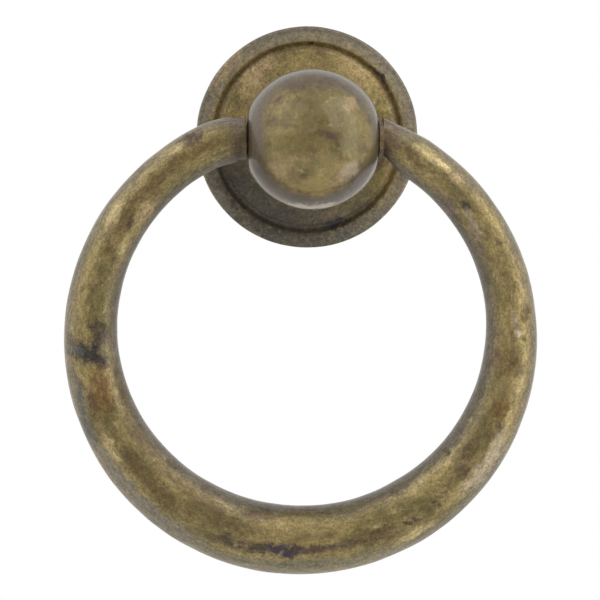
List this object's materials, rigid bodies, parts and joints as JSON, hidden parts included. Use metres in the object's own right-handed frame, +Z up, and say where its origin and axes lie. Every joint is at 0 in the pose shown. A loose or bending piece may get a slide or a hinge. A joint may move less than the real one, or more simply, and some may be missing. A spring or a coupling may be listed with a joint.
{
  "type": "ring pull",
  "caption": "Round drop-ring pull: a ring of swelling bar hung from a ball on a short post, with a turned round backplate and a fixing screw from behind.",
  "frame": {"origin": "centre of the backplate's back, in the plane that bears on the wood, on the axis of the post", "axes": "+Z up the front, -Y out of it towards the hand, +Y into the wood along the screw, +X to the right seen from the front; the ring hangs down along -Z"},
  "size_m": [0.0603, 0.0439, 0.0699],
  "materials": {
    "plate_brass": "aged, dull, dark in the groove",
    "ball_brass": "aged, soft sheen, brown mottling",
    "ring_brass": "aged, soft sheen, dark blotches and pits",
    "screw_steel": "dull plated steel"
  },
  "bodies": {
    "mounting": {"backplate": "plate_brass", "ball_post": "ball_brass", "fixing_screw": "screw_steel"},
    "drop_ring": {"ring": "ring_brass"}
  },
  "joints": [
    {"name": "ring_swing", "type": "hinge", "parent": "mounting", "child": "drop_ring", "pos_m": [0, -0.0145, 0], "axis": [-1, 0, 0], "range_deg": [-11, 191]}
  ]
}
